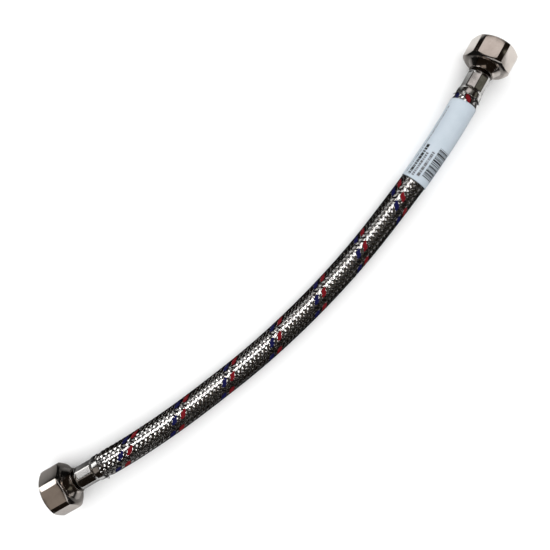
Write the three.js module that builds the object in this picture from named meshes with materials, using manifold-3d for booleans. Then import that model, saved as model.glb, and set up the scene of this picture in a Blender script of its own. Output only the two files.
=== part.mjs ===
import * as THREE from 'three';
import { mergeVertices } from 'three/addons/utils/BufferGeometryUtils.js';
import Module from 'manifold-3d';

const wasm = await Module();
wasm.setup();

// Where the two fittings lie: centre of each nut's front face, and the tilt of its axis in plan
const END_REACH = 169;
const END_Y = 1.8;
const END_TILT = THREE.MathUtils.degToRad(15.5);

// Nut, turned and milled from hexagon bar, with a half inch pipe thread
const NUT_FLATS = 24;
const CORNER_MILLED = 0.8564065;
const HEX_LENGTH = 12;
const FACE_STEP = 0.7;
const BACK_STEP = 1;
const CHAMFER_ANGLE = THREE.MathUtils.degToRad(30);
const THREAD_MINOR = 18.6;
const MOUTH_CHAMFER = 1.4;
const REAR_WALL = 1.2;
const BOSS_DIAMETER = 18.4;
const BOSS_END_DIAMETER = 13.8;
const BOSS_LENGTH = 4;
const BEAD_LENGTH = 0.8;
const NUT_PLAY = 1.2;
const NUT_B_ROLL = THREE.MathUtils.degToRad(17);

// Stem, turned brass
const STEM_BORE = 6.8;
const MOUTH_BORE = 10;
const LIP_DIAMETER = 13.2;
const LIP_LENGTH = 1.5;
const FLANGE_WALL = 1.6;
const NECK_DIAMETER = 10.4;
const COLLAR_DIAMETER = 12.6;
const COLLAR_LENGTH = 0.5;
const SEAT_DIAMETER = 9;
const TAIL_DIAMETER = 8;
const BARB_HEIGHT = 0.3;
const BARB_PITCH = 2.6;
const BARB_COUNT = 4;
const STEM_EDGE = 0.3;

// Seal ring
const WASHER_THICKNESS = 1.8;
const WASHER_EDGE = 0.25;

// Ferrule, thin steel sleeve with a crimped front and a plain rear bulge
const FERRULE_WALL = 0.5;
const CRIMP_FLATS = 12.7;
const CRIMP_LENGTH = 9.7;
const CRIMP_SIDES = 8;
const STEP_LENGTH = 1.6;
const BULGE_LENGTH = 3.1;
const FERRULE_EDGE = 0.4;

// Hose: rubber tube inside, steel braid outside
const HOSE_DIAMETER = 14;
const BRAID_WALL = 0.7;
const TUBE_WALL = 1.5;
const NECKED_TUBE_WALL = 0.55;
const NECKED_BRAID_WALL = 0.3;
const BULGE_BRAID_WALL = 0.5;
const LAYER_GAP = 0.15;
const HOSE_SIDES = 12;
const HOSE_STEPS = 24;

// Label round the braid, near end b
const LABEL_FROM_FERRULE = 3.4;
const LABEL_LENGTH = 48;
const LABEL_THICKNESS = 0.2;
const LABEL_SIDES = 24;
const LABEL_STEPS = 6;
const LABEL_GAP = 0.2;

// Running gap between pieces that touch on the real hose
const GAP = 0.3;
const ROUND_SIDES = 36;
const STEM_SIDES = 28;

// Stations along a fitting's axis, counted from the nut's front face towards the hose
const bossEnd = HEX_LENGTH + BOSS_LENGTH;
const shoulder = HEX_LENGTH - REAR_WALL;
const flangeBack = shoulder - NUT_PLAY - GAP;
const flangeFront = flangeBack - FLANGE_WALL;
const washerBack = flangeFront - GAP;
const washerFront = washerBack - WASHER_THICKNESS;
const lipFront = flangeFront - LIP_LENGTH;
const collarFront = bossEnd + GAP;
const collarBack = collarFront + COLLAR_LENGTH;
const ferruleFront = collarBack + GAP;
const ferruleInside = ferruleFront + 1.5 * FERRULE_WALL;
const crimpEnd = ferruleFront + CRIMP_LENGTH;
const bulgeStart = crimpEnd + STEP_LENGTH;
const ferruleBack = bulgeStart + BULGE_LENGTH;
const hoseEnd = ferruleInside + GAP;
const freeHose = ferruleBack + 2 * GAP;

// Radii that fit into one another
const nutSharp = NUT_FLATS / 2 / Math.cos(Math.PI / 6);
const nutCorner = nutSharp - CORNER_MILLED;
const faceRadius = NUT_FLATS / 2 - FACE_STEP;
const backRadius = NUT_FLATS / 2 - BACK_STEP;
const threadRadius = THREAD_MINOR / 2;
const neckHole = NECK_DIAMETER / 2 + 1.3 * GAP;
const flangeRadius = threadRadius - GAP;
const lipRadius = LIP_DIAMETER / 2;
const seatRadius = SEAT_DIAMETER / 2;
const tailRadius = TAIL_DIAMETER / 2;
const boreRadius = STEM_BORE / 2;
const hoseRadius = HOSE_DIAMETER / 2;
const crimpBore = CRIMP_FLATS / 2 - 1.2 * FERRULE_WALL;
const braidOuter = {
  free: hoseRadius,
  bulge: hoseRadius - 2.6 * LAYER_GAP,
  neck: crimpBore - LAYER_GAP,
};
const braidInner = {
  free: braidOuter.free - BRAID_WALL,
  bulge: braidOuter.bulge - BULGE_BRAID_WALL,
  neck: braidOuter.neck - NECKED_BRAID_WALL,
};
const tubeOuter = {
  free: braidInner.free - LAYER_GAP,
  bulge: braidInner.bulge - LAYER_GAP,
  neck: braidInner.neck - LAYER_GAP,
};
const tubeInner = {
  free: tubeOuter.free - TUBE_WALL,
  bulge: tubeOuter.free - TUBE_WALL,
  neck: tubeOuter.neck - NECKED_TUBE_WALL,
};
const bulgeBore = braidOuter.bulge + LAYER_GAP;
const bulgeRadius = bulgeBore + FERRULE_WALL;

// Line of the hose between the two straight ends: it sinks from the nuts' axes on to the ground
const HOSE_LINE = [
  [-123.3, -10.7, 11.73],
  [-108.7, -14, 10.79],
  [-94, -16.9, 9.53],
  [-79.2, -19.3, 8.26],
  [-64.3, -21.4, 7.32],
  [-49.4, -23.2, 7.05],
  [-33.5, -24.6, 7.05],
  [-17.5, -25.4, 7.05],
  [0, -25.7, 7.05],
  [17.5, -25.4, 7.05],
  [33.5, -24.6, 7.05],
  [49.4, -23.2, 7.05],
  [64.3, -21.4, 7.38],
  [79.2, -19.3, 8.5],
  [94, -16.9, 10.03],
  [108.7, -14, 11.55],
  [123.3, -10.7, 12.67],
];

const materials = {
  nickel: { color: 0xb9aca3, roughness: 0.28, metalness: 1 },
  brass: { color: 0xb9784a, roughness: 0.35, metalness: 1 },
  steel: { color: 0xaeb0b3, roughness: 0.3, metalness: 1 },
  braid: { color: 0x9a9ca0, roughness: 0.4, metalness: 0.9 },
  rubber: { color: 0x161616, roughness: 0.7, metalness: 0 },
  label: { color: 0xeef1f8, roughness: 0.6, metalness: 0 },
};

// Booleans on closed meshes

function toSolid(geometry) {
  const bare = geometry.clone();
  bare.deleteAttribute('normal');
  bare.deleteAttribute('uv');
  const merged = mergeVertices(bare, 1e-4);
  const vertProperties = new Float32Array(merged.attributes.position.array);
  const triVerts = new Uint32Array(merged.index.array);
  return new wasm.Manifold(new wasm.Mesh({ numProp: 3, vertProperties, triVerts }));
}

function toGeometry(solid) {
  const mesh = solid.getMesh();
  const geometry = new THREE.BufferGeometry();
  geometry.setAttribute('position', new THREE.BufferAttribute(mesh.vertProperties, 3));
  geometry.setIndex(new THREE.BufferAttribute(mesh.triVerts, 1));
  geometry.computeVertexNormals();
  return geometry;
}

// Turned shapes: each profile is a closed list of [radius, station] round the fitting's axis

function turned(profile, sides = ROUND_SIDES) {
  const points = profile.map(([radius, station]) => new THREE.Vector2(radius, station));
  return new THREE.LatheGeometry(points, sides);
}

function turnedRing(profile, sides = ROUND_SIDES) {
  return turned([...profile, profile[0]], sides);
}

// Flat section pushed along the fitting's axis from one station to another
function prism(shape, from, to) {
  const geometry = new THREE.ExtrudeGeometry(shape, { depth: to - from, bevelEnabled: false });
  geometry.rotateX(-Math.PI / 2);
  geometry.translate(0, from, 0);
  return geometry;
}

function polygon(radius, sides, turn = 0) {
  const points = [];
  for (let i = 0; i < sides; i += 1) {
    const angle = turn + (2 * Math.PI * i) / sides;
    points.push(new THREE.Vector2(radius * Math.cos(angle), radius * Math.sin(angle)));
  }
  return new THREE.Shape(points);
}

// Hexagon with its six sharp corners milled off; unrolled, it has a flat up and a flat down
function nutOutline(roll) {
  const halfLand = CORNER_MILLED * Math.tan(Math.PI / 3);
  const points = [];
  for (let i = 0; i < 6; i += 1) {
    const angle = roll + (i * Math.PI) / 3;
    for (const side of [-1, 1]) {
      const x = nutCorner * Math.cos(angle) - side * halfLand * Math.sin(angle);
      const y = nutCorner * Math.sin(angle) + side * halfLand * Math.cos(angle);
      points.push(new THREE.Vector2(x, y));
    }
  }
  return points;
}

// Height of the axis above the ground that the nut rests on
function restHeight(roll) {
  return Math.max(...nutOutline(roll).map((point) => Math.abs(point.y)));
}

function swivelNut(roll) {
  const reach = nutCorner + 1;
  const frontRise = (reach - faceRadius) * Math.tan(CHAMFER_ANGLE);
  const backRise = (reach - backRadius) * Math.tan(CHAMFER_ANGLE);
  const chamfered = turned([
    [0, 0],
    [faceRadius, 0],
    [reach, frontRise],
    [reach, HEX_LENGTH - backRise],
    [backRadius, HEX_LENGTH],
    [0, HEX_LENGTH],
  ]);
  const bossRadius = BOSS_DIAMETER / 2;
  const bossTip = BOSS_END_DIAMETER / 2;
  const taper = BOSS_LENGTH - BEAD_LENGTH;
  const boss = turned([
    [0, HEX_LENGTH - 1],
    [bossRadius, HEX_LENGTH - 1],
    [bossRadius, HEX_LENGTH + 0.15 * taper],
    [0.6 * bossRadius + 0.4 * bossTip, HEX_LENGTH + 0.6 * taper],
    [bossTip - 0.2, HEX_LENGTH + taper],
    [bossTip, HEX_LENGTH + taper + 0.25 * BEAD_LENGTH],
    [bossTip, bossEnd - 0.25 * BEAD_LENGTH],
    [bossTip - 0.2, bossEnd],
    [0, bossEnd],
  ]);
  const cavity = turned([
    [0, -1],
    [threadRadius + MOUTH_CHAMFER + 1, -1],
    [threadRadius, MOUTH_CHAMFER],
    [threadRadius, shoulder],
    [neckHole, shoulder],
    [neckHole, bossEnd + 1],
    [0, bossEnd + 1],
  ]);
  const bar = prism(new THREE.Shape(nutOutline(roll)), 0, HEX_LENGTH);
  const hex = toSolid(bar).intersect(toSolid(chamfered));
  return toGeometry(hex.add(toSolid(boss)).subtract(toSolid(cavity)));
}

function sealWasher() {
  const outer = threadRadius - GAP / 2;
  const inner = lipRadius + GAP;
  return turnedRing([
    [inner + WASHER_EDGE, washerFront],
    [outer - WASHER_EDGE, washerFront],
    [outer, washerFront + WASHER_EDGE],
    [outer, washerBack - WASHER_EDGE],
    [outer - WASHER_EDGE, washerBack],
    [inner + WASHER_EDGE, washerBack],
    [inner, washerBack - WASHER_EDGE],
    [inner, washerFront + WASHER_EDGE],
  ]);
}

// Sawtooth rings on the tail, sharp towards the nut so that the tube can't creep off
function barbs() {
  const points = [];
  for (let i = 0; i < BARB_COUNT; i += 1) {
    const start = hoseEnd + 1 + i * BARB_PITCH;
    points.push([tailRadius, start]);
    points.push([tailRadius + BARB_HEIGHT, start + 0.1 * BARB_PITCH]);
    points.push([tailRadius + BARB_HEIGHT, start + 0.3 * BARB_PITCH]);
    points.push([tailRadius, start + 0.9 * BARB_PITCH]);
  }
  return points;
}

function stem() {
  const neck = NECK_DIAMETER / 2;
  const collar = COLLAR_DIAMETER / 2;
  const collarEdge = 0.3 * COLLAR_LENGTH;
  const mouth = MOUTH_BORE / 2;
  const lipRound = (lipRadius - mouth) / 2;
  const lipMiddle = (lipRadius + mouth) / 2;
  const lip = [];
  for (let i = 0; i <= 6; i += 1) {
    const angle = Math.PI - (i * Math.PI) / 6;
    lip.push([lipMiddle + lipRound * Math.cos(angle), lipFront + lipRound * (1 - Math.sin(angle))]);
  }
  const tailEnd = hoseEnd + 1 + BARB_COUNT * BARB_PITCH + 1;
  return turnedRing([
    ...lip,
    [lipRadius, flangeFront],
    [flangeRadius - STEM_EDGE, flangeFront],
    [flangeRadius, flangeFront + STEM_EDGE],
    [flangeRadius, flangeBack - STEM_EDGE],
    [flangeRadius - STEM_EDGE, flangeBack],
    [neck, flangeBack],
    [neck, collarFront],
    [collar - collarEdge, collarFront],
    [collar, collarFront + collarEdge],
    [collar, collarBack - collarEdge],
    [collar - collarEdge, collarBack],
    [seatRadius, collarBack],
    [seatRadius, ferruleInside],
    [tailRadius, ferruleInside + (seatRadius - tailRadius)],
    ...barbs(),
    [tailRadius, tailEnd - STEM_EDGE],
    [tailRadius - STEM_EDGE, tailEnd],
    [boreRadius, tailEnd],
    [boreRadius, flangeBack],
  ], STEM_SIDES);
}

// Crimped sleeve: the front is pressed to flats, the rear bulge stays round
function ferrule() {
  const crimpCorner = CRIMP_FLATS / 2 / Math.cos(Math.PI / CRIMP_SIDES);
  const blank = turnedRing([
    [seatRadius + GAP, ferruleFront],
    [crimpCorner - FERRULE_EDGE - 0.3, ferruleFront],
    [crimpCorner, ferruleFront + FERRULE_EDGE + 0.3],
    [crimpCorner, crimpEnd],
    [crimpCorner - 0.5, crimpEnd + 0.3],
    [bulgeRadius - FERRULE_EDGE, bulgeStart - 0.4],
    [bulgeRadius, bulgeStart + 0.2],
    [bulgeRadius, ferruleBack - 0.2],
    [bulgeRadius - 0.2, ferruleBack],
    [bulgeBore, ferruleBack],
    [bulgeBore, bulgeStart + 0.2],
    [crimpBore, crimpEnd + 0.2],
    [crimpBore, ferruleInside],
    [seatRadius + GAP, ferruleInside],
  ]);
  const room = polygon(crimpCorner + 2, 24);
  room.holes.push(polygon(crimpCorner, CRIMP_SIDES, Math.PI / CRIMP_SIDES));
  const press = prism(room, ferruleFront - 1, crimpEnd);
  return toGeometry(toSolid(blank).subtract(toSolid(press)));
}

// The hose's line and its layers

class Stretch extends THREE.Curve {
  constructor(line, from, to) {
    super();
    this.line = line;
    this.from = from;
    this.to = to;
  }

  getPoint(t, target = new THREE.Vector3()) {
    const distance = this.from + (this.to - this.from) * t;
    return this.line.getPointAt(distance / this.line.getLength(), target);
  }
}

function endGroup(side, roll) {
  const group = new THREE.Group();
  group.position.set(side * END_REACH, END_Y, restHeight(roll));
  group.rotation.z = side * (Math.PI / 2 + END_TILT);
  group.updateMatrixWorld(true);
  return group;
}

const rolls = { a: 0, b: NUT_B_ROLL };
const ends = { a: endGroup(-1, rolls.a), b: endGroup(1, rolls.b) };

function onAxis(group, station) {
  return new THREE.Vector3(0, station, 0).applyMatrix4(group.matrixWorld);
}

const line = new THREE.CatmullRomCurve3([
  onAxis(ends.a, freeHose - 6),
  onAxis(ends.a, freeHose + 2),
  ...HOSE_LINE.map((place) => new THREE.Vector3(...place)),
  onAxis(ends.b, freeHose + 2),
  onAxis(ends.b, freeHose - 6),
]);
line.arcLengthDivisions = 1200;
const lineLength = line.getLength();

// Plain tube of flat sides along part of the line
function tubeAlong(from, to, outer, inner, sides, steps) {
  const section = polygon(outer, sides);
  section.holes.push(polygon(inner, sides));
  const extrudePath = new Stretch(line, from, to);
  return new THREE.ExtrudeGeometry(section, { steps, bevelEnabled: false, extrudePath });
}

// Straight end of a layer, pressed thin under the ferrule; its last bit lies inside the free wall
function neckedEnd(outer, inner, group) {
  const inset = LAYER_GAP;
  const geometry = turnedRing([
    [outer.neck, hoseEnd],
    [outer.neck, crimpEnd + 0.4],
    [outer.bulge, bulgeStart + 0.4],
    [outer.bulge, freeHose - GAP],
    [outer.free - inset, freeHose],
    [outer.free - inset, freeHose + 0.7],
    [inner.free + inset, freeHose + 0.7],
    [inner.free + inset, freeHose],
    [inner.bulge, freeHose - GAP],
    [inner.bulge, bulgeStart + 0.6],
    [inner.neck, crimpEnd + 0.6],
    [inner.neck, hoseEnd],
  ], HOSE_SIDES);
  geometry.applyMatrix4(group.matrixWorld);
  return geometry;
}

function hoseLayer(outer, inner) {
  const free = tubeAlong(6, lineLength - 6, outer.free, inner.free, HOSE_SIDES, HOSE_STEPS);
  let solid = toSolid(free);
  for (const group of [ends.a, ends.b]) {
    solid = solid.add(toSolid(neckedEnd(outer, inner, group)));
  }
  return toGeometry(solid);
}

function wrappedLabel() {
  const inner = hoseRadius + LABEL_GAP;
  const start = lineLength - 6 - LABEL_FROM_FERRULE;
  return tubeAlong(start - LABEL_LENGTH, start, inner + LABEL_THICKNESS, inner, LABEL_SIDES, LABEL_STEPS);
}

// Assembly

function piece(name, geometry, material) {
  const mesh = new THREE.Mesh(geometry, new THREE.MeshStandardMaterial(materials[material]));
  mesh.name = name;
  return mesh;
}

const hose = new THREE.Group();
for (const [letter, group] of Object.entries(ends)) {
  group.add(piece(`swivel_nut_${letter}`, swivelNut(rolls[letter]), 'nickel'));
  group.add(piece(`washer_${letter}`, sealWasher(), 'rubber'));
  group.add(piece(`stem_${letter}`, stem(), 'brass'));
  group.add(piece(`ferrule_${letter}`, ferrule(), 'steel'));
  hose.add(group);
}
hose.add(piece('inner_tube', hoseLayer(tubeOuter, tubeInner), 'rubber'));
hose.add(piece('braid_sleeve', hoseLayer(braidOuter, braidInner), 'braid'));
hose.add(piece('label', wrappedLabel(), 'label'));

export default hose;
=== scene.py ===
from math import atan2, cos, pi, radians, sin, tan, tanh
import bpy
import numpy as np
from mathutils import Matrix, Vector


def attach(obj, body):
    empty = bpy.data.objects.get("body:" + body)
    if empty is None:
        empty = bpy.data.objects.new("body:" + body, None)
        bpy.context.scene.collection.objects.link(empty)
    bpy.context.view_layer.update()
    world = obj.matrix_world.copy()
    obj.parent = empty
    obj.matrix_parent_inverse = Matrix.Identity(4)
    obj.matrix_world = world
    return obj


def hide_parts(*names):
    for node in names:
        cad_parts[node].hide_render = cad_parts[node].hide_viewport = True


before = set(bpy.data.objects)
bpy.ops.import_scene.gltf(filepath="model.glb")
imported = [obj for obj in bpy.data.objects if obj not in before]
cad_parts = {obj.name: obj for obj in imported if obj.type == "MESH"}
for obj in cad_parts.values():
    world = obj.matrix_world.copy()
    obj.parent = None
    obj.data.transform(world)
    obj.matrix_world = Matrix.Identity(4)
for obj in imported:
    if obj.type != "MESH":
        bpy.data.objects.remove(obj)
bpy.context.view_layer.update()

# Camera
# The hose was photographed from straight above, turned so that it runs from the lower left to the
# upper right. The lens and height give the photo's scale of 1.86 pixels to the millimetre.
PHOTO_WIDTH = 550
FOCAL_PIXELS = 587
SENSOR_WIDTH = 36
NEAREST_SEEN = 0.01
CAMERA_PLACE = (-0.0007, -0.0002, 0.328)
CAMERA_TURN = radians(-45.2)

camera_data = bpy.data.cameras.new("camera")
camera_data.sensor_width = SENSOR_WIDTH
camera_data.lens = SENSOR_WIDTH * FOCAL_PIXELS / PHOTO_WIDTH
camera_data.clip_start = NEAREST_SEEN
camera = bpy.data.objects.new("camera", camera_data)
camera.location = CAMERA_PLACE
camera.rotation_euler = (0, 0, CAMERA_TURN)
bpy.context.scene.collection.objects.link(camera)
bpy.context.scene.camera = camera


# Line of the hose
# The hose leaves each ferrule straight, sags from the nuts' height on to the ground and lies in one
# gentle bow. Its points are the same as those of the solid model, here in metres.
NUT_FLATS = 0.024
NUT_CORNERS = 0.026
NUT_ROLLS = {"a": 0, "b": radians(17)}
END_REACH = 0.169
END_Y = 0.0018
END_TILT = radians(15.5)
FERRULE_MOUTH = 0.0315
FREE_HOSE = 0.0321
HOSE_TUCK = 0.006
STRAIGHT_LEAD = 0.002
HOSE_LINE = [
    (-0.1233, -0.0107, 0.01173),
    (-0.1087, -0.014, 0.01079),
    (-0.094, -0.0169, 0.00953),
    (-0.0792, -0.0193, 0.00826),
    (-0.0643, -0.0214, 0.00732),
    (-0.0494, -0.0232, 0.00705),
    (-0.0335, -0.0246, 0.00705),
    (-0.0175, -0.0254, 0.00705),
    (0, -0.0257, 0.00705),
    (0.0175, -0.0254, 0.00705),
    (0.0335, -0.0246, 0.00705),
    (0.0494, -0.0232, 0.00705),
    (0.0643, -0.0214, 0.00738),
    (0.0792, -0.0193, 0.0085),
    (0.094, -0.0169, 0.01003),
    (0.1087, -0.014, 0.01155),
    (0.1233, -0.0107, 0.01267),
]


def nut_outline(roll):
    """Hexagon with its six sharp corners milled off; unrolled, it has a flat up and a flat down."""
    corner = NUT_CORNERS / 2
    land = (NUT_FLATS / 2 / cos(pi / 6) - corner) * tan(pi / 3)
    points = []
    for i in range(6):
        angle = roll + i * pi / 3
        for side in (-1, 1):
            x = corner * cos(angle) - side * land * sin(angle)
            y = corner * sin(angle) + side * land * cos(angle)
            points.append((x, y))
    return points


def end_place(side, roll):
    """Matrix of a fitting: local Z runs from the nut's front face to the hose, local Y is up."""
    inward = Vector((-side * cos(END_TILT), -sin(END_TILT), 0))
    up = Vector((0, 0, 1))
    across = up.cross(inward)
    place = Matrix((across, up, inward)).transposed().to_4x4()
    rest_height = max(y for x, y in nut_outline(roll))
    place.translation = (side * END_REACH, END_Y, rest_height)
    return place


END_A = end_place(-1, NUT_ROLLS["a"])
END_B = end_place(1, NUT_ROLLS["b"])


def rounded_line(points, steps=24):
    """Centripetal Catmull-Rom curve through the points, as an array of close points."""
    points = np.array(points, float)
    first = 2 * points[0] - points[1]
    last = 2 * points[-1] - points[-2]
    knots = np.vstack([first, points, last])
    fine = []
    for i in range(1, len(knots) - 2):
        p0, p1, p2, p3 = knots[i - 1:i + 3]
        t0 = 0
        t1 = t0 + np.linalg.norm(p1 - p0) ** 0.5
        t2 = t1 + np.linalg.norm(p2 - p1) ** 0.5
        t3 = t2 + np.linalg.norm(p3 - p2) ** 0.5
        t = np.linspace(t1, t2, steps, endpoint=False)[:, None]
        a1 = (t1 - t) / (t1 - t0) * p0 + (t - t0) / (t1 - t0) * p1
        a2 = (t2 - t) / (t2 - t1) * p1 + (t - t1) / (t2 - t1) * p2
        a3 = (t3 - t) / (t3 - t2) * p2 + (t - t2) / (t3 - t2) * p3
        b1 = (t2 - t) / (t2 - t0) * a1 + (t - t0) / (t2 - t0) * a2
        b2 = (t3 - t) / (t3 - t1) * a2 + (t - t1) / (t3 - t1) * a3
        fine.append((t2 - t) / (t2 - t1) * b1 + (t - t1) / (t2 - t1) * b2)
    fine.append(points[-1][None])
    return np.vstack(fine)


def on_axis(end, station):
    return tuple(end @ Vector((0, 0, station)))


route = rounded_line(
    [on_axis(END_A, FREE_HOSE - HOSE_TUCK), on_axis(END_A, FREE_HOSE + STRAIGHT_LEAD)]
    + HOSE_LINE
    + [on_axis(END_B, FREE_HOSE + STRAIGHT_LEAD), on_axis(END_B, FREE_HOSE - HOSE_TUCK)]
)
route_run = np.concatenate([[0], np.cumsum(np.linalg.norm(np.diff(route, axis=0), axis=1))])
ROUTE_LENGTH = route_run[-1]
route_ahead = np.gradient(route, route_run, axis=0)
MOUTH_A = FERRULE_MOUTH - (FREE_HOSE - HOSE_TUCK)
MOUTH_B = ROUTE_LENGTH - MOUTH_A


def on_hose(run, turn, radius):
    """Points at a run along the hose, an angle round it and a radius from its middle line."""
    middle = np.stack([np.interp(run, route_run, route[:, i]) for i in range(3)], -1)
    ahead = np.stack([np.interp(run, route_run, route_ahead[:, i]) for i in range(3)], -1)
    ahead /= np.linalg.norm(ahead, axis=-1, keepdims=True)
    left = np.cross((0, 0, 1), ahead)
    left /= np.linalg.norm(left, axis=-1, keepdims=True)
    up = np.cross(ahead, left)
    turn = np.asarray(turn)[..., None]
    radius = np.asarray(radius)[..., None]
    return middle + radius * (np.cos(turn) * left + np.sin(turn) * up)


def grid_faces(rows, columns, closed):
    """Quads between neighbouring rows of points, each row open or closed into a ring."""
    row, column = np.meshgrid(np.arange(rows - 1), np.arange(columns - (not closed)), indexing="ij")
    here = (row * columns + column).ravel()
    beside = (row * columns + (column + 1) % columns).ravel()
    return np.stack([here, beside, beside + columns, here + columns], -1)


def new_piece(name, points, edges, faces):
    mesh = bpy.data.meshes.new(name)
    mesh.from_pydata(points, edges, faces)
    piece = bpy.data.objects.new(name, mesh)
    bpy.context.scene.collection.objects.link(piece)
    return piece


def smooth_grids(name, grids, closed=True):
    """One smooth mesh of grids of points, whose rows are closed rings or open lines."""
    points = []
    faces = []
    start = 0
    for grid in grids:
        rows, columns = grid.shape[:2]
        points += grid.reshape(-1, 3).tolist()
        faces += (grid_faces(rows, columns, closed) + start).tolist()
        start += rows * columns
    piece = new_piece(name, points, [], faces)
    piece.data.validate()
    for polygon in piece.data.polygons:
        polygon.use_smooth = True
    return piece


def eased(part):
    """Smooth step from 0 to 1."""
    return part * part * (3 - 2 * part)


# Finishes
# Cloudy wear and short scratches on metal and rubber come from one shared group of textures, and each
# material gives it its own sizes.
SCRATCH_DEPTH = 0.00002


def node_group(name, inputs, outputs):
    """Empty shader group with its sockets, and its input and output nodes."""
    group = bpy.data.node_groups.new(name, "ShaderNodeTree")
    for label, kind, value in inputs:
        socket = group.interface.new_socket(label, in_out="INPUT", socket_type=kind)
        socket.default_value = value
    for label, kind in outputs:
        group.interface.new_socket(label, in_out="OUTPUT", socket_type=kind)
    return group, group.nodes.new("NodeGroupInput"), group.nodes.new("NodeGroupOutput")


def add_node(tree, kind, values=(), links=(), **settings):
    """Node with its settings, its fixed input values and its links from other sockets."""
    node = tree.nodes.new(kind)
    for key, value in settings.items():
        setattr(node, key, value)
    for key, value in dict(values).items():
        node.inputs[key].default_value = value
    for key, socket in dict(links).items():
        tree.links.new(socket, node.inputs[key])
    return node


def new_material(name, **values):
    """Material with fixed values on its shader."""
    material = bpy.data.materials.new(name)
    material.use_nodes = True
    shader = material.node_tree.nodes["Principled BSDF"]
    for label, value in values.items():
        shader.inputs[label.replace("_", " ")].default_value = value
    return material, material.node_tree, shader


def handling_marks():
    """Cloudy wear and short scratches: a mask of the wear, and a height for bump."""
    group, given, result = node_group(
        "handling_marks",
        [("Cloud size", "NodeSocketFloat", 200), ("Scratch size", "NodeSocketFloat", 900)],
        [("Wear", "NodeSocketFloat"), ("Height", "NodeSocketFloat")],
    )
    place = add_node(group, "ShaderNodeTexCoord")
    cloud = add_node(
        group, "ShaderNodeTexNoise",
        {"Detail": 4, "Roughness": 0.6},
        {"Vector": place.outputs["Object"], "Scale": given.outputs["Cloud size"]},
    )
    wear = add_node(
        group, "ShaderNodeMapRange",
        {"From Min": 0.35, "From Max": 0.7},
        {"Value": cloud.outputs["Fac"]},
    )
    stretch = add_node(
        group, "ShaderNodeMapping",
        {"Scale": (1, 0.12, 1), "Rotation": (0.4, 0.2, 0.7)},
        {"Vector": place.outputs["Object"]},
    )
    scratch = add_node(
        group, "ShaderNodeTexNoise",
        {"Detail": 3, "Roughness": 0.7},
        {"Vector": stretch.outputs["Vector"], "Scale": given.outputs["Scratch size"]},
    )
    group.links.new(wear.outputs["Result"], result.inputs["Wear"])
    group.links.new(scratch.outputs["Fac"], result.inputs["Height"])
    return group


MARKS = handling_marks()


def worn(name, clean, dull, rough, sizes, bump, metallic=1):
    """Finish whose colour and gloss change a little where it was handled."""
    material, tree, shader = new_material(name, Metallic=metallic)
    marks = add_node(
        tree, "ShaderNodeGroup",
        {"Cloud size": sizes[0], "Scratch size": sizes[1]},
        node_tree=MARKS,
    )
    tint = add_node(
        tree, "ShaderNodeMix",
        {6: (*clean, 1), 7: (*dull, 1)},
        {0: marks.outputs["Wear"]},
        data_type="RGBA",
    )
    tree.links.new(tint.outputs[2], shader.inputs["Base Color"])
    gloss = add_node(
        tree, "ShaderNodeMapRange",
        {"To Min": rough[0], "To Max": rough[1]},
        {"Value": marks.outputs["Wear"]},
    )
    tree.links.new(gloss.outputs["Result"], shader.inputs["Roughness"])
    relief = add_node(
        tree, "ShaderNodeBump",
        {"Strength": bump, "Distance": SCRATCH_DEPTH},
        {"Height": marks.outputs["Height"]},
    )
    tree.links.new(relief.outputs["Normal"], shader.inputs["Normal"])
    return material


# Steel braid
# Two dozen flat bands of bright stainless wire, twelve wound each way, are woven over two and under
# two on to the rubber tube by a braiding machine. Each band is six fine wires side by side.
BRAID_LEAD = 0.0333
BRAID_MIDDLE = 0.00672
BAND_COUNT = 12
BAND_WIDTH = 0.0013
BAND_RISE = 0.0002
BAND_BACK = 0.7
WAVE_FLATNESS = 1.2
WIRES = 6
WIRE_RADIUS = 0.00014
WIRE_CORNERS = 4
STEPS_PER_TURN = 48
UNDER_FERRULE = 0.0016
MOUTH_PINCH = 0.0007
PINCH_LENGTH = 0.003
RED_CROSSING = -0.0221
CROSSING_TURN = radians(87)
TIGHT_FROM_MOUTH = 0.055
TIGHT_LENGTH = 0.05
EXTRA_WINDING = 0.0055
BRAID_TURN = radians(-10.5)
band_angle = atan2(2 * pi * BRAID_MIDDLE, BRAID_LEAD)
braid_start = ROUTE_LENGTH / 2 + RED_CROSSING + BRAID_LEAD * (CROSSING_TURN - BRAID_TURN) / (2 * pi)

wire_steel = worn(
    "wire_steel", (0.62, 0.61, 0.6), (0.42, 0.41, 0.4), rough=(0.09, 0.15), sizes=(900, 3000), bump=0.1
)


def winding(run):
    """Run along the hose as the braid winds it, a little tighter under the label."""
    tighter = np.clip((run - (MOUTH_B - TIGHT_FROM_MOUTH)) / TIGHT_LENGTH, 0, 1)
    return run - braid_start + EXTRA_WINDING * eased(tighter)


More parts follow.
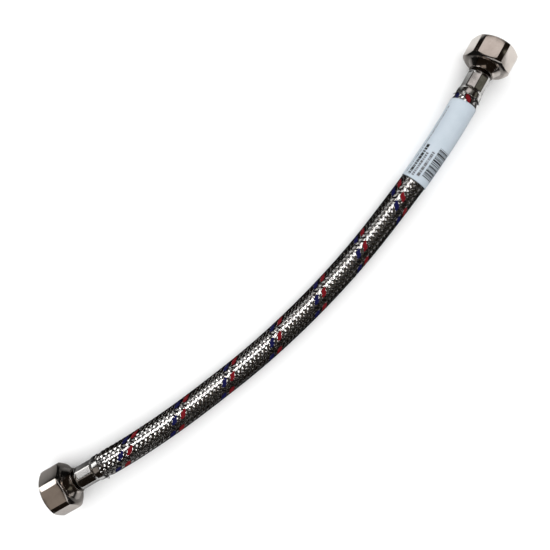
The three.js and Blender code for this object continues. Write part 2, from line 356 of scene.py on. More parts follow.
def woven_bands(name, way, numbers, band_width=BAND_WIDTH, sink=0):
    """Bands of one winding way, each rising over two crossing bands and dipping under the next two."""
    run_start = MOUTH_A - UNDER_FERRULE
    run_end = MOUTH_B + UNDER_FERRULE
    steps = int((run_end - run_start) / BRAID_LEAD * STEPS_PER_TURN)
    run = np.linspace(run_start, run_end, steps + 1)
    arc = np.linspace(0, pi, WIRE_CORNERS)
    across = []
    height = []
    for wire in range(WIRES):
        middle = (wire + 0.5) / WIRES - 0.5
        for angle in arc[:-1] if wire < WIRES - 1 else arc:
            across.append(middle * band_width - 0.5 * band_width / WIRES * cos(angle))
            height.append(WIRE_RADIUS * sin(angle))
    across += [across[-1], across[0]]
    height += [-WIRE_RADIUS * BAND_BACK, -WIRE_RADIUS * BAND_BACK]
    across = np.array(across)
    height = np.array(height)
    bands = []
    depths = []
    for number in numbers:
        turn = number * 2 * pi / BAND_COUNT + way * 2 * pi * winding(run) / BRAID_LEAD
        along = run[:, None] - way * across * sin(band_angle)
        round_it = turn[:, None] + across * cos(band_angle) / BRAID_MIDDLE
        wave = np.tanh(WAVE_FLATNESS * np.sin(BAND_COUNT // 2 * round_it + pi / 4)) / tanh(WAVE_FLATNESS)
        near_a = np.clip((along - MOUTH_A) / PINCH_LENGTH, 0, 1)
        near_b = np.clip((MOUTH_B - along) / PINCH_LENGTH, 0, 1)
        pinch = MOUTH_PINCH * (1 - np.minimum(near_a, near_b))
        dip = np.clip(-way * wave, 0, 1)
        radius = BRAID_MIDDLE + way * BAND_RISE * wave - sink * dip + height - pinch
        bands.append(on_hose(along, round_it + BRAID_TURN, radius))
        depths.append(dip.ravel())
    piece = smooth_grids(name, bands)
    # The dip is kept on the points for the yarns' painted shade.
    depth = piece.data.attributes.new("depth", "FLOAT", "POINT")
    depth.data.foreach_set("value", np.concatenate(depths))
    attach(piece, "hose")
    return piece


RED_BAND = 0
BLUE_BAND = 10
steel_left = [n for n in range(BAND_COUNT) if n not in (RED_BAND, BLUE_BAND)]
braid_right = woven_bands("braid_bands_right", 1, range(BAND_COUNT))
braid_left = woven_bands("braid_bands_left", -1, steel_left)
for piece in (braid_right, braid_left):
    piece.data.materials.append(wire_steel)

# Marker yarns
# One red and one blue nylon yarn run in the braid in place of two of its wire bands, with one steel
# band between them, and show that the hose is for hot and cold water. Where they dip under the steel,
# their colour is painted dark as shade.
YARN_WIDTH = 0.0023
YARN_SINK = 0.00028
FIBRE_DEPTH = 0.00004


def marker_yarn(name, band, nylon, colour, dark):
    """Yarn in the place of one left-hand band, with a finish of its own and painted shade where it dips.
    """
    yarn = woven_bands(name, -1, [band], YARN_WIDTH, YARN_SINK)
    material, tree, shader = new_material(nylon, Roughness=0.7, Specular_IOR_Level=0.15)
    place = add_node(tree, "ShaderNodeTexCoord")
    fibre = add_node(
        tree, "ShaderNodeTexNoise", {"Scale": 2600, "Detail": 3},
        {"Vector": place.outputs["Object"]},
    )
    tint = add_node(
        tree, "ShaderNodeMix", {6: (*dark, 1), 7: (*colour, 1)}, {0: fibre.outputs["Fac"]},
        data_type="RGBA",
    )
    # Painted shade: the deeper the yarn dips under the steel bands, the closer its colour is mixed to
    # near black.
    depth = add_node(tree, "ShaderNodeAttribute", attribute_name="depth")
    shade = add_node(
        tree, "ShaderNodeMapRange", {"From Min": 0.05, "From Max": 0.45, "To Max": 0.97},
        {"Value": depth.outputs["Fac"]},
    )
    shaded = add_node(
        tree, "ShaderNodeMix", {7: (0.004, 0.004, 0.004, 1)},
        {0: shade.outputs["Result"], 6: tint.outputs[2]}, data_type="RGBA",
    )
    tree.links.new(shaded.outputs[2], shader.inputs["Base Color"])
    relief = add_node(
        tree, "ShaderNodeBump", {"Strength": 0.5, "Distance": FIBRE_DEPTH},
        {"Height": fibre.outputs["Fac"]},
    )
    tree.links.new(relief.outputs["Normal"], shader.inputs["Normal"])
    yarn.data.materials.append(material)
    return yarn


red_yarn = marker_yarn(
    "red_marker_yarn", RED_BAND, "red_nylon", (0.25, 0.002, 0.008), (0.06, 0.001, 0.003)
)
blue_yarn = marker_yarn(
    "blue_marker_yarn", BLUE_BAND, "blue_nylon", (0.004, 0.005, 0.085), (0.002, 0.002, 0.03)
)

# Loose wires
# Where the ferrules were crimped on, a few cut wires of the braid have sprung out of their mouths and
# stand up in small arches.
ARCH_STEPS = 20
ARCH_SIDES = 8
ARCH_START = 0.0006
ARCH_FOOT = 0.0001
ARCH_FULLNESS = 0.8
LOOSE_WIRES = {
    "a": [
        (0.0022, 60, 38, 0.0009),
        (0.0012, 118, -44, 0.0011),
        (0.0016, 20, 30, 0.0007),
        (0.001, 165, -36, 0.0008),
    ],
    "b": [
        (0.0014, 48, 46, 0.0011),
        (0.001, 98, -40, 0.0012),
        (0.002, 8, 34, 0.0009),
        (0.0016, 150, -38, 0.0008),
    ],
}


def loose_wires(name, letter):
    """Arches of bare wire at one ferrule's mouth: reach, angle round it, angle spanned and height."""
    arches = []
    part = np.linspace(0, 1, ARCH_STEPS)
    for reach, middle, spread, height in LOOSE_WIRES[letter]:
        away = reach * np.sin(pi * part) ** ARCH_FULLNESS - ARCH_START
        run = MOUTH_A + away if letter == "a" else MOUTH_B - away
        turn = radians(middle) + radians(spread) * (part - 0.5)
        rise = BRAID_MIDDLE + ARCH_FOOT + height * np.sin(pi * part)
        centre = on_hose(run, turn, rise)
        ahead = np.gradient(centre, axis=0)
        ahead /= np.linalg.norm(ahead, axis=1)[:, None]
        side = np.cross(ahead, (0, 0, 1))
        side /= np.linalg.norm(side, axis=1)[:, None]
        up = np.cross(side, ahead)
        angle = np.linspace(0, 2 * pi, ARCH_SIDES, endpoint=False)
        ring = np.cos(angle)[None, :, None] * side[:, None] + np.sin(angle)[None, :, None] * up[:, None]
        arches.append(centre[:, None] + WIRE_RADIUS * ring)
    piece = smooth_grids(name, arches)
    piece.data.materials.append(wire_steel)
    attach(piece, "hose")
    return piece


loose_a = loose_wires("loose_wires_a", "a")
loose_b = loose_wires("loose_wires_b", "b")

# Inner tube
# Black rubber tube that carries the water, seen only as the dark ground between the bands. It is the
# plain tube of the solid model, which necks down under both ferrules.
tube_rubber = worn(
    "tube_rubber", (0.008, 0.008, 0.008), (0.03, 0.03, 0.03),
    rough=(0.5, 0.7), sizes=(400, 1500), bump=0.3, metallic=0,
)
inner_tube = bpy.data.objects["inner_tube"]
inner_tube.data.materials.clear()
inner_tube.data.materials.append(tube_rubber)

# Label
# White coated paper wrapped once round the braid near end b and stuck to itself, printed in black
# with a group of plain bars and rows of dashes. The far half of the paper is bare.
LABEL_FROM_FERRULE = 0.0034
LABEL_LENGTH = 0.048
LABEL_INSIDE = 0.0072
LABEL_THICKNESS = 0.0001
LABEL_OVERLAP = 0.3
LABEL_LIFT = 1.1 * LABEL_THICKNESS
LABEL_ROWS = 61
LABEL_COLUMNS = 97


def choose(piece):
    """Makes one piece the only selected and the active one."""
    bpy.ops.object.select_all(action="DESELECT")
    piece.select_set(True)
    bpy.context.view_layer.objects.active = piece


def apply_modifiers(piece):
    choose(piece)
    for modifier in list(piece.modifiers):
        bpy.ops.object.modifier_apply(modifier=modifier.name)


label_end = ROUTE_LENGTH - HOSE_TUCK - LABEL_FROM_FERRULE
label_run = np.linspace(label_end - LABEL_LENGTH, label_end, LABEL_ROWS)
label_turn = np.linspace(-0.5 * pi - LABEL_OVERLAP, 1.5 * pi, LABEL_COLUMNS)
run_grid, turn_grid = np.meshgrid(label_run, label_turn, indexing="ij")
on_top = np.clip((turn_grid + 0.5 * pi) / LABEL_OVERLAP + 1, 0, 1)
label_points = on_hose(run_grid, turn_grid, LABEL_INSIDE + LABEL_LIFT * on_top)
label = smooth_grids("wrapped_label", [label_points], closed=False)
sheet = label.data.uv_layers.new(name="sheet")
for loop in label.data.loops:
    row, column = divmod(loop.vertex_index, LABEL_COLUMNS)
    sheet.data[loop.index].uv = (row / (LABEL_ROWS - 1), column / (LABEL_COLUMNS - 1))
thick = label.modifiers.new("thick", "SOLIDIFY")
thick.thickness = LABEL_THICKNESS
thick.offset = 1
apply_modifiers(label)


def sheet_across(turn):
    """Place on the label's printed sheet of an angle round the hose, in degrees."""
    return (radians(turn) + 0.5 * pi + LABEL_OVERLAP) / (2 * pi + LABEL_OVERLAP)


def printed_block(tree, along, across, u_from, u_to, turn_from, turn_to, pitch, cover, seed):
    """Mask of one printed block: bars of uneven width across the hose, inside a window of the sheet."""
    bars = add_node(
        tree, "ShaderNodeTexNoise", {"W": seed, "Scale": LABEL_LENGTH / pitch, "Detail": 0},
        {}, noise_dimensions="1D",
    )
    shifted = add_node(tree, "ShaderNodeMath", {1: seed}, {0: along}, operation="ADD")
    tree.links.new(shifted.outputs[0], bars.inputs["W"])
    inked = add_node(
        tree, "ShaderNodeMath", {1: cover}, {0: bars.outputs["Fac"]}, operation="GREATER_THAN"
    )
    mask = inked.outputs[0]
    edges = (
        (along, u_from, "GREATER_THAN"),
        (along, u_to, "LESS_THAN"),
        (across, sheet_across(turn_from), "GREATER_THAN"),
        (across, sheet_across(turn_to), "LESS_THAN"),
    )
    for place, edge, operation in edges:
        inside = add_node(tree, "ShaderNodeMath", {1: edge}, {0: place}, operation=operation)
        kept = add_node(
            tree, "ShaderNodeMath", {}, {0: mask, 1: inside.outputs[0]}, operation="MULTIPLY"
        )
        mask = kept.outputs[0]
    return mask


label_paper, label_tree, label_shader = new_material("label_paper", Roughness=0.45)
label_place = add_node(label_tree, "ShaderNodeUVMap", uv_map="sheet")
label_axes = add_node(label_tree, "ShaderNodeSeparateXYZ", {}, {0: label_place.outputs["UV"]})
along_label = label_axes.outputs["X"]
across_label = label_axes.outputs["Y"]
paper_cloud = add_node(
    label_tree, "ShaderNodeTexNoise", {"Scale": 9, "Detail": 3},
    {"Vector": label_place.outputs["UV"]},
)
paper_tint = add_node(
    label_tree, "ShaderNodeMix", {6: (0.43, 0.5, 0.56, 1), 7: (0.52, 0.58, 0.64, 1)},
    {0: paper_cloud.outputs["Fac"]}, data_type="RGBA",
)
printed = paper_tint.outputs[2]
PRINT = [
    (0.077, 0.4375, 98, 158, 0.00045, 0.47, 3.1, 0.005),
    (0.03, 0.417, 38, 52, 0.0007, 0.4, 7.7, 0.01),
    (0.03, 0.33, 57, 68, 0.0006, 0.45, 12.3, 0.08),
    (0.05, 0.375, 77, 89, 0.0006, 0.46, 17.9, 0.1),
    (0.03, 0.9, 22, 28, 0.0008, 0.47, 23.5, 0.15),
]
for u_from, u_to, turn_from, turn_to, pitch, cover, seed, ink in PRINT:
    block = printed_block(
        label_tree, along_label, across_label, u_from, u_to, turn_from, turn_to, pitch, cover, seed
    )
    layer = add_node(
        label_tree, "ShaderNodeMix", {7: (ink, ink, ink * 1.1, 1)}, {0: block, 6: printed},
        data_type="RGBA",
    )
    printed = layer.outputs[2]
label_tree.links.new(printed, label_shader.inputs["Base Color"])
label.data.materials.append(label_paper)
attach(label, "hose")
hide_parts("label")

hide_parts("braid_sleeve")
[tuple(on_hose(np.array(run), 0, 0)) for run in np.linspace(MOUTH_A, MOUTH_B, 60)]

# Turned pieces
# The nuts, stems and seals are turned, so each starts as half its section, spun round the fitting's
# axis. Sharp edges are broken a little, as a deburring wheel leaves them.
LATHE_STEPS = 96
SHARP_FROM = radians(20)
WELD_DISTANCE = 0.000001
TOOL_SPARE = 0.001


def face_outwards(piece):
    choose(piece)
    bpy.ops.object.mode_set(mode="EDIT")
    bpy.ops.mesh.select_all(action="SELECT")
    bpy.ops.mesh.normals_make_consistent(inside=False)
    bpy.ops.object.mode_set(mode="OBJECT")


def break_edges(piece, width, segments=2):
    edge = piece.modifiers.new("edge", "BEVEL")
    edge.width = width
    edge.segments = segments
    edge.limit_method = "ANGLE"
    edge.angle_limit = SHARP_FROM
    apply_modifiers(piece)


def turned(name, section):
    """Solid of revolution from a closed section of (radius, station) corners."""
    corners = [(radius, 0, station) for radius, station in section]
    sides = [(i, (i + 1) % len(corners)) for i in range(len(corners))]
    piece = new_piece(name, corners, sides, [])
    spin = piece.modifiers.new("spin", "SCREW")
    spin.steps = LATHE_STEPS
    spin.render_steps = LATHE_STEPS
    spin.use_merge_vertices = True
    spin.merge_threshold = WELD_DISTANCE
    apply_modifiers(piece)
    face_outwards(piece)
    return piece


def cut(piece, tool, operation):
    """Boolean of a piece with a tool, which is used up."""
    action = piece.modifiers.new("cut", "BOOLEAN")
    action.object = tool
    action.operation = operation
    action.solver = "EXACT"
    apply_modifiers(piece)
    bpy.data.objects.remove(tool)


def fit(piece, end, material, body, node, smooth=30):
    """Gives a finished piece its place on the hose, its material and its part in the frame."""
    choose(piece)
    bpy.ops.object.shade_smooth_by_angle(angle=radians(smooth))
    piece.data.transform(end)
    piece.data.materials.clear()
    piece.data.materials.append(material)
    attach(piece, body)
    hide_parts(node)


ENDS = {"a": END_A, "b": END_B}

# Swivel nuts
# Brass hexagon bar, its corners milled off and both faces chamfered, with a tapered boss behind and a
# right-hand half inch pipe thread inside, nickel plated and polished.
HEX_LENGTH = 0.012
FACE_RADIUS = 0.0113
BACK_RADIUS = 0.011
SHOULDER = 0.0108
BOSS_RADIUS = 0.0092
BOSS_WAIST = 0.0066
BOSS_HOLLOW = 1.3
BOSS_ROWS = 9
BOSS_TIP = 0.0069
BOSS_END = 0.016
BEAD_LENGTH = 0.0008
BEAD_STEPS = 6
NUT_EDGE = 0.00012
NECK_HOLE = 0.00559
THREAD_PITCH = 0.001814
THREAD_INSIDE = 0.0093
THREAD_DEPTH = 0.00116
THREAD_START = -0.0006
THREAD_END = 0.0092
THREAD_RUNOUT = 0.6 * THREAD_PITCH
TOOTH_SLOPE = 1.32
TOOTH_ROUNDING = 0.4
MOUTH_RADIUS = 0.0107
ROWS_PER_PITCH = 16


def hexagon_bar(roll):
    corners = [(x, y, -TOOL_SPARE / 2) for x, y in nut_outline(roll)]
    bar = new_piece("bar", corners, [], [list(range(len(corners)))])
    choose(bar)
    bpy.ops.object.mode_set(mode="EDIT")
    bpy.ops.mesh.select_all(action="SELECT")
    bpy.ops.mesh.extrude_region_move(TRANSFORM_OT_translate={"value": (0, 0, HEX_LENGTH + TOOL_SPARE)})
    bpy.ops.object.mode_set(mode="OBJECT")
    face_outwards(bar)
    return bar


def threaded_tool():
    """Closed tool with the form of the threaded hole: a helix of rounded 55 degree teeth."""
    rows = int(SHOULDER / THREAD_PITCH * ROWS_PER_PITCH)
    station, turn = np.meshgrid(
        np.linspace(THREAD_START, SHOULDER, rows),
        np.linspace(0, 2 * pi, LATHE_STEPS, endpoint=False),
        indexing="ij",
    )
    phase = (station / THREAD_PITCH - turn / (2 * pi)) % 1
    tooth = np.clip(TOOTH_SLOPE * np.abs(2 * phase - 1) - (TOOTH_SLOPE - 1) / 2, 0, 1)
    tooth = eased(tooth) * TOOTH_ROUNDING + tooth * (1 - TOOTH_ROUNDING)
    runout = np.clip((THREAD_END - station) / THREAD_RUNOUT, 0, 1)
    threaded = THREAD_INSIDE + THREAD_DEPTH * tooth * runout
    radius = np.maximum(threaded, MOUTH_RADIUS - station)
    points = np.stack([radius * np.cos(turn), radius * np.sin(turn), station], -1)
    sides = grid_faces(rows, LATHE_STEPS, True).tolist()
    first = list(range(LATHE_STEPS))[::-1]
    last = list(range((rows - 1) * LATHE_STEPS, rows * LATHE_STEPS))
    tool = new_piece("threaded_tool", points.reshape(-1, 3).tolist(), [], sides + [first, last])
    face_outwards(tool)
    return tool


def swivel_nut(name, roll):
    reach = NUT_CORNERS / 2 + TOOL_SPARE
    front_rise = (reach - FACE_RADIUS) * tan(pi / 6)
    back_rise = (reach - BACK_RADIUS) * tan(pi / 6)
    chamfers = turned("chamfers", [
        (0, 0),
        (FACE_RADIUS, 0),
        (reach, front_rise),
        (reach, HEX_LENGTH - back_rise),
        (BACK_RADIUS, HEX_LENGTH),
        (0, HEX_LENGTH),
    ])
    nut = hexagon_bar(roll)
    nut.name = name
    cut(nut, chamfers, "INTERSECT")
    taper = BOSS_END - BEAD_LENGTH - HEX_LENGTH
    section = [(0, HEX_LENGTH - TOOL_SPARE), (BOSS_RADIUS, HEX_LENGTH - TOOL_SPARE)]
    for part in np.linspace(0, 1, BOSS_ROWS):
        radius = BOSS_WAIST + (BOSS_RADIUS - BOSS_WAIST) * (1 - part) ** BOSS_HOLLOW
        section.append((radius, HEX_LENGTH + taper * part))
    for step in range(BEAD_STEPS + 1):
        angle = -pi / 2 + step / BEAD_STEPS * pi
        section.append((
            BOSS_TIP - BEAD_LENGTH / 2 + BEAD_LENGTH / 2 * cos(angle),
            BOSS_END - BEAD_LENGTH / 2 + BEAD_LENGTH / 2 * sin(angle),
        ))
    section.append((0, BOSS_END))
    cut(nut, turned("boss", section), "UNION")
    break_edges(nut, NUT_EDGE)
    cut(nut, threaded_tool(), "DIFFERENCE")
    neck = turned("neck", [
        (0, SHOULDER - TOOL_SPARE / 2),
        (NECK_HOLE, SHOULDER - TOOL_SPARE / 2),
        (NECK_HOLE, BOSS_END + TOOL_SPARE),
        (0, BOSS_END + TOOL_SPARE),
    ])
    cut(nut, neck, "DIFFERENCE")
    return nut


nickel_plate = worn(
    "nickel_plate", (0.74, 0.68, 0.63), (0.66, 0.6, 0.55), rough=(0.1, 0.2), sizes=(150, 1400), bump=0.12
)
for letter, end in ENDS.items():
    nut = swivel_nut(f"swivel_nut_shown_{letter}", NUT_ROLLS[letter])
    fit(nut, end, nickel_plate, f"nut_{letter}", f"swivel_nut_{letter}")

# Seal rings
# Flat black rubber ring in each nut, in front of the stem's flange. It is moulded with rounded edges,
# and travels with its nut.
SEAL_OUTSIDE = 0.00915
SEAL_INSIDE = 0.0069
SEAL_FRONT = 0.0056
SEAL_BACK = 0.0074
SEAL_EDGE = 0.0003

seal_rubber = worn(
    "seal_rubber", (0.012, 0.012, 0.012), (0.03, 0.03, 0.03),
    rough=(0.45, 0.7), sizes=(300, 1200), bump=0.4, metallic=0,
)
for letter, end in ENDS.items():
    seal = turned(f"seal_ring_{letter}", [
        (SEAL_INSIDE, SEAL_FRONT),
        (SEAL_OUTSIDE, SEAL_FRONT),
        (SEAL_OUTSIDE, SEAL_BACK),
        (SEAL_INSIDE, SEAL_BACK),
    ])
    break_edges(seal, SEAL_EDGE, 3)
    fit(seal, end, seal_rubber, f"seal_{letter}", f"washer_{letter}")

# Stems
# Turned brass insert: rounded sealing lip, flange that the nut pulls on, neck, collar, and a barbed
# tail that grips the inside of the rubber tube. In the groove between nut and ferrule, shade is painted
# on the stem as a near-black metal.
STEM_BORE = 0.0034
STEM_MOUTH = 0.005
LIP_RADIUS = 0.0066
LIP_FRONT = 0.0062
LIP_STEPS = 12
FLANGE_RADIUS = 0.009
FLANGE_FRONT = 0.0077
FLANGE_BACK = 0.0093
NECK_RADIUS = 0.0052
COLLAR_RADIUS = 0.0057
COLLAR_FRONT = 0.0163
COLLAR_BACK = 0.0168
SEAT_RADIUS = 0.0045
SEAT_END = 0.01785
TAIL_RADIUS = 0.004
BARB_START = 0.01915
BARB_PITCH = 0.0026
BARB_COUNT = 4
BARB_HEIGHT = 0.0003
BARB_CREST = (0.1, 0.3)
BARB_FOOT = 0.9
TAIL_END = 0.03055
STEM_EDGE = 0.0001
FERRULE_FRONT = 0.0171
# Stretch of the stem round the groove whose colour is painted near black as shade.
PAINTED_SHADE_FROM = BOSS_END - 0.002
PAINTED_SHADE_TO = FERRULE_FRONT + 0.001


def stem_section():
    round_radius = (LIP_RADIUS - STEM_MOUTH) / 2
    middle = (LIP_RADIUS + STEM_MOUTH) / 2
    section = []
    for step in range(LIP_STEPS + 1):
        angle = pi - step / LIP_STEPS * pi
        section.append((middle + round_radius * cos(angle), LIP_FRONT + round_radius * (1 - sin(angle))))
    section += [
        (LIP_RADIUS, FLANGE_FRONT),
        (FLANGE_RADIUS, FLANGE_FRONT),
        (FLANGE_RADIUS, FLANGE_BACK),
        (NECK_RADIUS, FLANGE_BACK),
        (NECK_RADIUS, COLLAR_FRONT),
        (COLLAR_RADIUS, COLLAR_FRONT),
        (COLLAR_RADIUS, COLLAR_BACK),
        (SEAT_RADIUS, COLLAR_BACK),
        (SEAT_RADIUS, SEAT_END),
        (TAIL_RADIUS, SEAT_END + SEAT_RADIUS - TAIL_RADIUS),
    ]
    for barb in range(BARB_COUNT):
        start = BARB_START + barb * BARB_PITCH
        section += [
            (TAIL_RADIUS, start),
            (TAIL_RADIUS + BARB_HEIGHT, start + BARB_CREST[0] * BARB_PITCH),
            (TAIL_RADIUS + BARB_HEIGHT, start + BARB_CREST[1] * BARB_PITCH),
            (TAIL_RADIUS, start + BARB_FOOT * BARB_PITCH),
        ]
    return section + [(TAIL_RADIUS, TAIL_END), (STEM_BORE, TAIL_END), (STEM_BORE, FLANGE_BACK)]


raw_brass = worn(
    "raw_brass", (0.72, 0.44, 0.25), (0.5, 0.27, 0.14), rough=(0.25, 0.4), sizes=(260, 1800), bump=0.2
)
# Painted shade: near-black brass for the stem's faces in the groove between nut and ferrule.
painted_shade_brass = worn(
    "painted_shade_brass", (0.05, 0.04, 0.032), (0.02, 0.016, 0.012),
    rough=(0.4, 0.6), sizes=(260, 1800), bump=0.3,
)
for letter, end in ENDS.items():
    stem = turned(f"barbed_stem_{letter}", stem_section())
    break_edges(stem, STEM_EDGE)
    in_groove = [PAINTED_SHADE_FROM < face.center.z < PAINTED_SHADE_TO for face in stem.data.polygons]
    fit(stem, end, raw_brass, "hose", f"stem_{letter}")
    stem.data.materials.append(painted_shade_brass)
    for face, dark in zip(stem.data.polygons, in_groove):
        face.material_index = int(dark)

# Ferrules
# Thin stainless sleeve, pressed to eight flats by the crimping jaws, with a plain round bulge left at
# the hose's side and a rolled lip at the nut's side.
FERRULE_WALL = 0.00035
FRONT_WALL = 0.00075
FRONT_HOLE = 0.0048
FRONT_FLAT = 0.0055
FRONT_ROLL = (0.0007, 0.00076)
CRIMP_START = 0.018
CRIMP_END = 0.0268
JAWS_END = CRIMP_END + 0.0004
JAW_RISE = 0.0005
JAW_FALL = 0.0007
BULGE_START = 0.0284
BLANK_RADIUS = 0.0063
CRIMP_FLAT = 0.00588
CORNER_SOFTNESS = 0.00007
BULGE_RADIUS = 0.00678
CRIMP_BORE = 0.00545
BULGE_BORE = 0.00643
BORE_SHIFT = 0.0002
CRIMP_SIDES = 8
CRIMP_TURNS = {"a": radians(-24), "b": radians(26)}
ROLL_STEPS = 8
CRIMP_ROWS = 34
FERRULE_COLUMNS = 192


def ferrule_section():
    """Rows along the sleeve, outside then inside: station, round radius and how far the jaws reach."""
    half_wall = FERRULE_WALL / 2
    rows = [(FERRULE_FRONT, FRONT_HOLE, 0), (FERRULE_FRONT, FRONT_FLAT, 0)]
    for step in range(1, ROLL_STEPS + 1):
        angle = step / ROLL_STEPS * pi / 2
        station = FERRULE_FRONT + FRONT_ROLL[0] * (1 - cos(angle))
        rows.append((station, FRONT_FLAT + FRONT_ROLL[1] * sin(angle), 0))
    for part in np.linspace(0, 1, CRIMP_ROWS):
        station = CRIMP_START + part * (JAWS_END - CRIMP_START)
        jaw = min(1, (station - CRIMP_START) / JAW_RISE, (JAWS_END - station) / JAW_FALL)
        rows.append((station, BLANK_RADIUS, eased(jaw)))
    for part in np.linspace(0.1, 1, 8):
        station = JAWS_END + part * (BULGE_START - JAWS_END)
        rows.append((station, BLANK_RADIUS + eased(part) * (BULGE_RADIUS - BLANK_RADIUS), 0))
    rows.append((FERRULE_MOUTH - half_wall, BULGE_RADIUS, 0))
    for step in range(1, ROLL_STEPS):
        angle = step / ROLL_STEPS * pi
        station = FERRULE_MOUTH - half_wall * (1 - sin(angle))
        rows.append((station, BULGE_RADIUS - half_wall * (1 - cos(angle)), 0))
    rows += [
        (FERRULE_MOUTH - half_wall, BULGE_BORE, 0),
        (BULGE_START + BORE_SHIFT, BULGE_BORE, 0),
        (CRIMP_END + BORE_SHIFT, CRIMP_BORE, 0),
        (FERRULE_FRONT + FRONT_WALL, CRIMP_BORE, 0),
        (FERRULE_FRONT + FRONT_WALL, FRONT_HOLE, 0),
        (FERRULE_FRONT, FRONT_HOLE, 0),
    ]
    return np.array(rows)


def ferrule(name, crimp_turn):
    rows = ferrule_section()
    turn = np.linspace(0, 2 * pi, FERRULE_COLUMNS, endpoint=False)
    flat = 2 * pi / CRIMP_SIDES
    off_flat = (turn - crimp_turn + flat / 2) % flat - flat / 2
    station = rows[:, 0, None] + 0 * turn
    blank = rows[:, 1, None] + 0 * turn
    soft = CORNER_SOFTNESS
    pressed = -soft * np.logaddexp(-blank / soft, -CRIMP_FLAT / np.cos(off_flat) / soft)
    radius = blank + rows[:, 2, None] * (pressed - blank)
    points = np.stack([radius * np.cos(turn), radius * np.sin(turn), station], -1)
    return smooth_grids(name, [points])


stainless_sleeve = worn(
    "stainless_sleeve", (0.7, 0.69, 0.68), (0.6, 0.59, 0.57),
    rough=(0.14, 0.26), sizes=(220, 1600), bump=0.2,
)
for letter, end in ENDS.items():
    sleeve = ferrule(f"crimped_ferrule_{letter}", CRIMP_TURNS[letter])
    fit(sleeve, end, stainless_sleeve, "hose", f"ferrule_{letter}", 40)

# Ground and light
# Ground, white to the camera, under a wide overhead panel, which lights the ground, the label and the
# yarns. The metal mirrors a dark room instead, with a bright softbox at the left of the picture and dim
# cards round it; the braid has a light of its own. The ground's reflection in the metal is painted:
# nearly black, and light only near the ends.
GROUND_SIZE = 6
GROUND_PLACE = (0, 0, -0.0002)
MIRRORED_LEVEL = 0.74
MIRRORED_SLOPE_X = 1.64
MIRRORED_SLOPE_Y = -4.4
MIRRORED_ENDS = {"From Min": 0.142, "From Max": 0.166, "To Min": 0.008, "To Max": 0.8}

bpy.ops.object.select_all(action="DESELECT")
bpy.ops.mesh.primitive_plane_add(size=GROUND_SIZE, location=GROUND_PLACE)
floor = bpy.context.object
floor.name = "ground"
ground_painted_reflection, ground_tree, ground_shader = new_material("ground_painted_reflection", Roughness=1, Specular_IOR_Level=0)
# Painted reflection: to mirrored rays the ground's colour is painted by place, graded across the ground,
# nearly black in the middle and light only near the ends; to all other rays it is white.
ground_rays = add_node(ground_tree, "ShaderNodeLightPath")
ground_place = add_node(ground_tree, "ShaderNodeTexCoord")
ground_axes = add_node(ground_tree, "ShaderNodeSeparateXYZ", {}, {0: ground_place.outputs["Object"]})
ground_slope = add_node(
    ground_tree, "ShaderNodeMath", {1: MIRRORED_SLOPE_X, 2: MIRRORED_LEVEL},
    {0: ground_axes.outputs["X"]}, operation="MULTIPLY_ADD",
)
ground_lean = add_node(
    ground_tree, "ShaderNodeMath", {1: MIRRORED_SLOPE_Y},
    {0: ground_axes.outputs["Y"], 2: ground_slope.outputs[0]},
    operation="MULTIPLY_ADD", use_clamp=True,
)
ground_reach = add_node(
    ground_tree, "ShaderNodeMath", {}, {0: ground_axes.outputs["X"]}, operation="ABSOLUTE"
)
ground_ends = add_node(
    ground_tree, "ShaderNodeMapRange", MIRRORED_ENDS, {"Value": ground_reach.outputs[0]}
)
ground_mirror = add_node(
    ground_tree, "ShaderNodeMath", {}, {0: ground_lean.outputs[0], 1: ground_ends.outputs["Result"]},
    operation="MULTIPLY",
)
ground_tint = add_node(
    ground_tree, "ShaderNodeMix", {6: (0.97, 0.97, 0.97, 1)},
    {0: ground_rays.outputs["Is Glossy Ray"], 7: ground_mirror.outputs[0]}, data_type="RGBA",
)
ground_tree.links.new(ground_tint.outputs[2], ground_shader.inputs["Base Color"])
floor.data.materials.append(ground_painted_reflection)

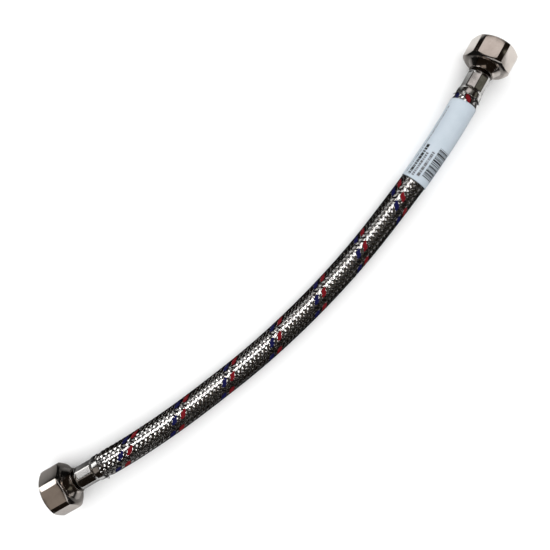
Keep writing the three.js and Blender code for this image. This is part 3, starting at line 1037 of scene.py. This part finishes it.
bpy.context.scene.view_settings.view_transform = "Standard"
world = bpy.data.worlds.new("room")
world.use_nodes = True
bpy.context.scene.world = world
room = world.node_tree
room_rays = add_node(room, "ShaderNodeLightPath")
room_tint = add_node(
    room, "ShaderNodeMix", {6: (0.36, 0.36, 0.36, 1), 7: (0.01, 0.007, 0.005, 1)},
    {0: room_rays.outputs["Is Glossy Ray"]}, data_type="RGBA",
)
room_seen = add_node(
    room, "ShaderNodeMix", {7: (1, 1, 1, 1)},
    {0: room_rays.outputs["Is Camera Ray"], 6: room_tint.outputs[2]}, data_type="RGBA",
)
room.links.new(room_seen.outputs[2], room.nodes["Background"].inputs["Color"])
room.nodes["Background"].inputs["Strength"].default_value = 1

picture_up = Vector((-sin(CAMERA_TURN), cos(CAMERA_TURN), 0))
picture_right = Vector((cos(CAMERA_TURN), sin(CAMERA_TURN), 0))


def lamp(
    name, bearing, from_zenith, distance, width, height, brightness, colour=(1, 1, 1), seen_by="metal"
):
    """Area light seen at a bearing of the picture, counted from its right, and at an angle from above."""
    data = bpy.data.lights.new(name, "AREA")
    data.shape = "RECTANGLE"
    data.size = width
    data.size_y = height
    data.energy = brightness * pi * width * height
    data.color = colour
    light = bpy.data.objects.new(name, data)
    level = picture_right * cos(radians(bearing)) + picture_up * sin(radians(bearing))
    away = level * sin(radians(from_zenith)) + Vector((0, 0, cos(radians(from_zenith))))
    light.location = away * distance
    light.rotation_euler = away.to_track_quat("Z", "Y").to_euler()
    light.visible_diffuse = seen_by != "metal"
    light.visible_glossy = seen_by != "paper"
    bpy.context.scene.collection.objects.link(light)
    return light


lamp("softbox", 151, 60, 3, 1.7, 1.4, 1.9)
braid_light = lamp("braid_light", 100, 34, 3, 1.3, 1.3, 9)
lit_braid = bpy.data.collections.new("lit_braid")
for piece in (braid_right, braid_left, loose_a, loose_b):
    lit_braid.objects.link(piece)
braid_light.light_linking.receiver_collection = lit_braid
lamp("upper_sheet", 102, 37, 3, 1.6, 1.6, 0.75, (1, 0.93, 0.9))
lamp("far_sheet", 55, 30, 3, 1.2, 1.2, 0.15, (1, 0.98, 0.88))
lamp("warm_wall", 209, 29, 3, 2.3, 1.8, 0.26, (1, 0.88, 0.78))
lamp("olive_card", 2, 54, 3, 1.0, 1.0, 0.14, (1, 0.98, 0.8))
lamp("low_strip", -5, 84, 3, 2.4, 0.6, 0.4, (1, 0.98, 0.96))
lamp("overhead", 150, 10, 1.6, 4, 4, 1.42, (1, 1, 1), "paper")
